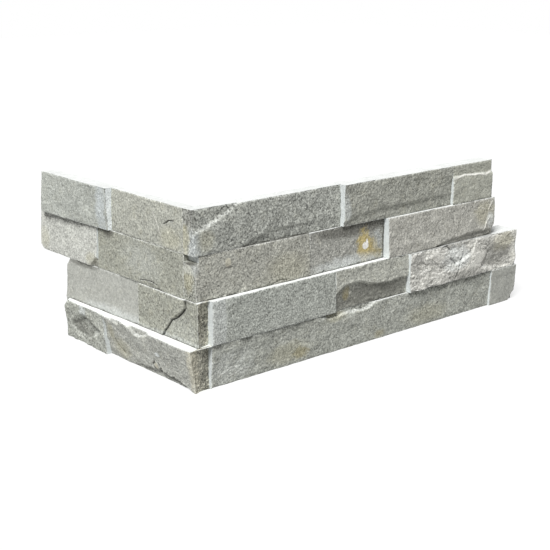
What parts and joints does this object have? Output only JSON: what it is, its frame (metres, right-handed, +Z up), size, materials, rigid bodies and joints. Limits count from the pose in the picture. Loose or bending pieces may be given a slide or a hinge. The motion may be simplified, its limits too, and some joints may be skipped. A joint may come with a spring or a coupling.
{
  "type": "slate ledger stone corner panel",
  "caption": "Split-face slate ledger stone corner: courses of sawn strips bonded into an L and finger-jointed at the outer corner.",
  "frame": {"origin": "inner corner at the foot of the panel, where the backs of the two legs meet", "axes": "+X along the long leg, +Y along the short leg, +Z up; the split faces look towards -Y and -X"},
  "size_m": [0.4191, 0.2511, 0.15],
  "materials": {
    "slate_grey": "split face, sawn back, bed and ends",
    "slate_pale": "split face, sawn back, bed and ends, paler bed of the same slate",
    "slate_tan": "split face with a warm tinge, sawn back, bed and ends",
    "slate_rusty": "split face with ochre iron stains, sawn back, bed and ends"
  },
  "bodies": {
    "root": {"long_top_corner_stone": "slate_grey", "long_top_middle_stone": "slate_grey", "long_top_end_stone": "slate_grey", "long_upper_corner_stone": "slate_grey", "long_upper_middle_stone": "slate_rusty", "long_upper_end_stone": "slate_grey", "long_lower_corner_stone": "slate_grey", "long_lower_middle_stone": "slate_grey", "long_lower_end_stone": "slate_pale", "long_bottom_corner_stone": "slate_grey", "long_bottom_end_stone": "slate_grey", "short_top_corner_stone": "slate_tan", "short_top_end_stone": "slate_pale", "short_upper_corner_stone": "slate_tan", "short_upper_end_stone": "slate_pale", "short_lower_corner_stone": "slate_tan", "short_lower_end_stone": "slate_pale", "short_bottom_corner_stone": "slate_tan", "short_bottom_end_stone": "slate_grey"}
  },
  "joints": []
}
